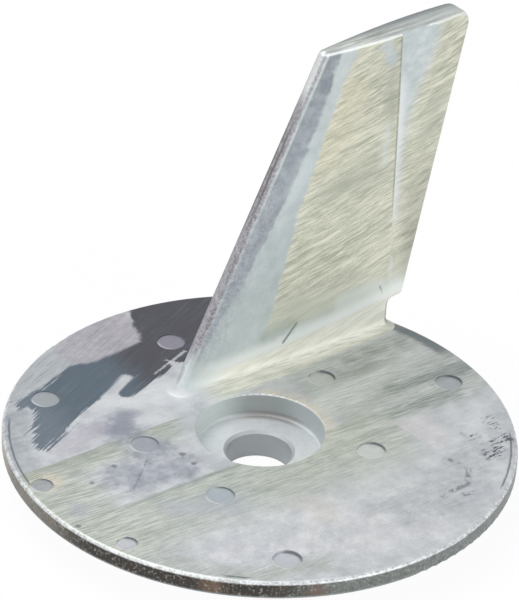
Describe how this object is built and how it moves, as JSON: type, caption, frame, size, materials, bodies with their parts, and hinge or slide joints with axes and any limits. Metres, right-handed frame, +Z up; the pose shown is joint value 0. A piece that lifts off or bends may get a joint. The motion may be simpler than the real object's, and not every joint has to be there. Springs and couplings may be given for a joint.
{
  "type": "sacrificial anode",
  "caption": "Cast zinc trim tab anode: a round disc with a counterbored bolt hole, a hub underneath and a swept fin standing beside the hole.",
  "frame": {"origin": "on the bolt hole's axis, at the hub's seating face", "axes": "+Z up along the bolt hole towards the fin's tip, +X along the fin towards its trailing edge, +Y from the bolt hole towards the fin"},
  "size_m": [0.0992, 0.09, 0.0707],
  "materials": {
    "cast_zinc": "bright zinc casting, belt sanded in places, with a dark burnt patch"
  },
  "bodies": {
    "root": {"anode_casting": "cast_zinc"}
  },
  "joints": []
}
